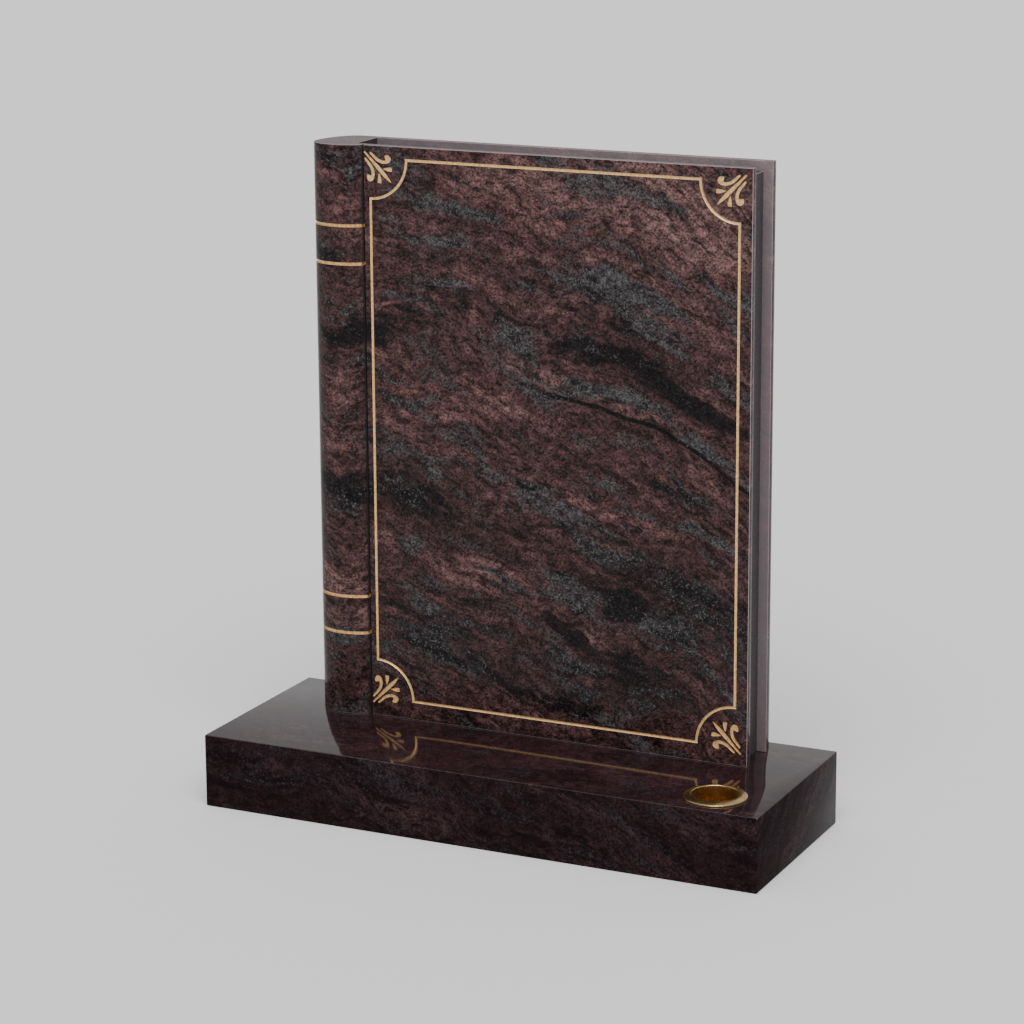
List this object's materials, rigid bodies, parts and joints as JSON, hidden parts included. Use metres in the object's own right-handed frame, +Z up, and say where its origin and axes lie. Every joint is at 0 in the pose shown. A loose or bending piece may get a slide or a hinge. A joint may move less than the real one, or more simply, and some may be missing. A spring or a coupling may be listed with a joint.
{
  "type": "book headstone",
  "caption": "Polished granite headstone shaped as a closed upright book with gilded cut lines, on a granite base with a metal flower container.",
  "frame": {"origin": "middle of the underside of the base", "axes": "+Z up, -Y towards the front cover, +X from the book's spine to its fore-edge"},
  "size_m": [0.774, 0.28, 0.8593],
  "materials": {
    "base_granite": "polished dark brown-black granite",
    "book_granite": "polished plum-brown granite with charcoal bands, gilded cut lines",
    "gilt_metal": "polished gold-coloured metal"
  },
  "bodies": {
    "root": {"base": "base_granite", "book": "book_granite", "flower_container": "gilt_metal"}
  },
  "joints": []
}
